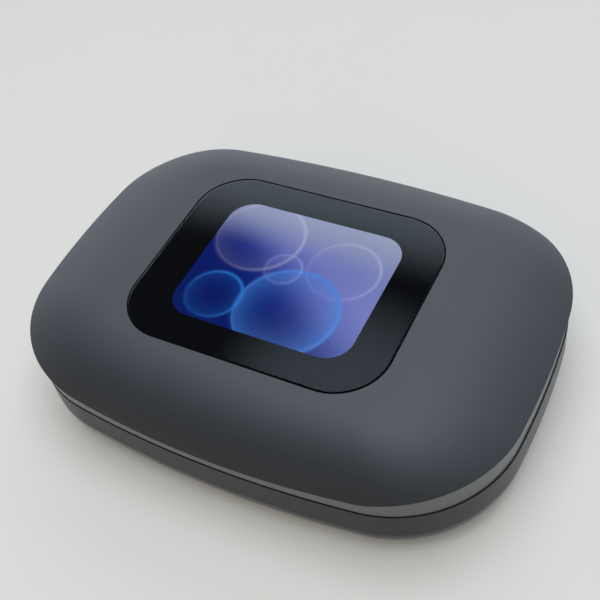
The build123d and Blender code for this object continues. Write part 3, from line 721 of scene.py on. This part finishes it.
# Metals: dark and light tone, roughness, lines per metre, their stretch along X, their depth
brushed_steel = metal_finish(
    "brushed_steel", tone(150, 152, 155), tone(190, 192, 195), 0.28, 9000.0, 0.02, 0.004 * MM
)
hinge_steel = metal_finish(
    "hinge_steel", tone(128, 130, 134), tone(156, 158, 162), 0.3, 12000.0, 0.02, 0.002 * MM
)
screw_steel = metal_finish(
    "screw_steel", tone(70, 72, 76), tone(100, 102, 106), 0.3, 9000.0, 1.0, 0.003 * MM
)
magnet_nickel = metal_finish(
    "magnet_nickel", tone(170, 168, 160), tone(200, 198, 190), 0.18, 4000.0, 1.0, 0.002 * MM
)
contact_gold = metal_finish(
    "contact_gold", tone(205, 160, 84), tone(235, 192, 110), 0.2, 9000.0, 1.0, 0.001 * MM
)

wear(lid_coat, "lid_shell")
wear(base_coat, "base_shell")
wear(inner_plastic, "lid_liner", "tray", "pairing_button")
wear(black_plastic, "glass_gasket", "pin_block_left", "pin_block_right", "usb_tongue")
wear(soft_rubber, "foot_pad", "tray_plugs", "lid_bumpers")
wear(brushed_steel, "display_bracket", "usb_shell")
wear(hinge_steel, "lid_hinge_leaf", "base_hinge_leaf", "hinge_pin")
wear(
    screw_steel,
    "display_screws",
    "liner_screws",
    "lid_leaf_screws",
    "base_leaf_screws",
    "tray_screws",
    "board_screws",
    "tact_switch",
)
wear(magnet_nickel, "lid_magnets", "base_magnets", "well_magnets")
wear(contact_gold, *[name for name in nodes if name.startswith("contact_pin_")])
wear(board_finish(), "lid_board", "main_board")
wear(flex_finish(), "display_flex")
wear(foil_finish(), "battery")

panel_centre = box_centre("display_panel")
lit_centre = Vector((panel_centre.x, panel_centre.y + LIT_SHIFT, 0))
wear(screen_finish(lit_centre, LIT_WIDTH), "display_panel")

lens = make_lens()
make_print(lit_centre)
make_socket_contacts(contact_gold)


# ---- Room --------------------------------------------------------------------------------


def make_floor():
    """Pale tabletop under the case."""
    mesh = bmesh.new()
    half = FLOOR_SIZE / 2
    level = cad_low.z - FLOOR_DROP
    corners = [(-half, -half), (half, -half), (half, half), (-half, half)]
    mesh.faces.new([mesh.verts.new((x, y, level)) for x, y in corners])
    data = bpy.data.meshes.new("tabletop")
    mesh.to_mesh(data)
    mesh.free()
    data.materials.append(floor_finish())
    floor = bpy.data.objects.new("tabletop", data)
    bpy.context.scene.collection.objects.link(floor)
    return floor


def add_panel(name, place, side, power, colour, only=(), never=()):
    """Soft square light panel that faces the case.

    It may light only some objects, or all but some.
    """
    light = bpy.data.lights.new(name, "AREA")
    light.shape = "SQUARE"
    light.size = side
    light.energy = power
    light.color = colour
    holder = bpy.data.objects.new(name, light)
    holder.location = place
    aim = Vector(PANEL_AIM) - Vector(place)
    holder.rotation_euler = aim.to_track_quat("-Z", "Y").to_euler()
    bpy.context.scene.collection.objects.link(holder)
    linked = bpy.data.collections.new(name + "_linking")
    for thing in (*only, *never):
        linked.objects.link(thing)
    holder.light_linking.receiver_collection = linked
    if never:
        for entry in linked.collection_objects:
            entry.light_linking.link_state = "EXCLUDE"


def make_surroundings():
    """World round the case: a wide window low at the rear, a lamp high up, walls palest low down."""
    world = bpy.data.worlds.new("surroundings")
    bpy.context.scene.world = world
    world.use_nodes = True
    tree = world.node_tree
    direction = add_node(tree, "ShaderNodeTexCoord").outputs["Generated"]
    parts = add_node(tree, "ShaderNodeSeparateXYZ", {"Vector": direction})
    facing = []
    for side in (WINDOW_SLANT, LAMP_SIDE):
        product = {0: direction, 1: side}
        turned = add_node(tree, "ShaderNodeVectorMath", product, operation="DOT_PRODUCT")
        facing.append(turned.outputs["Value"])
    below_head, toward_lamp = facing
    rear = remap(tree, parts.outputs["Y"], *REAR_FADE, smooth=True)
    top = remap(tree, below_head, *WINDOW_TOP_FADE, smooth=True)
    right = remap(tree, parts.outputs["X"], *WINDOW_RIGHT_FADE, 1.0, WINDOW_RIGHT_SHARE, smooth=True)
    window = math(tree, "MULTIPLY", math(tree, "MULTIPLY", rear, top), right)
    window = math(tree, "MULTIPLY", window, WINDOW_GLOW)
    wall = remap(tree, parts.outputs["Z"], *WALL_TOP_FADE, WALL_GLOW, 0.0, smooth=True)
    lit_level = ROOM_LEVEL + LAMP_GLOW
    lamp = remap(tree, toward_lamp, *LAMP_EDGE_FADE, ROOM_LEVEL, lit_level, smooth=True)
    level = math(tree, "ADD", math(tree, "MAXIMUM", window, wall), lamp)
    background = tree.nodes["Background"]
    tree.links.new(level, background.inputs["Strength"])
    tree.links.new(blend(tree, rear, ROOM_WARM, ROOM_COOL), background.inputs["Color"])


def make_lights(lens, floor):
    """Three soft panels.

    The overhead one lights all but the glass, which would mirror it. The front one fills the shadow
    on the floor, and the right one brings out the base's right side.
    """
    add_panel("overhead_panel", *OVERHEAD_PANEL, never=(lens,))
    add_panel("front_panel", *FRONT_PANEL, only=(floor,))
    add_panel("right_panel", *RIGHT_PANEL, only=(nodes["base_shell"],))


def make_camera():
    """Camera that looks down on the front right of the case."""
    camera = bpy.data.cameras.new("camera")
    camera.lens = CAMERA_LENS
    camera.clip_start = CAMERA_NEAR_END
    holder = bpy.data.objects.new("camera", camera)
    holder.location = CAMERA_PLACE
    holder.rotation_euler = CAMERA_TURN
    bpy.context.scene.collection.objects.link(holder)
    bpy.context.scene.camera = holder


make_surroundings()
make_lights(lens, make_floor())
make_camera()
bpy.context.scene.view_settings.view_transform = "Standard"
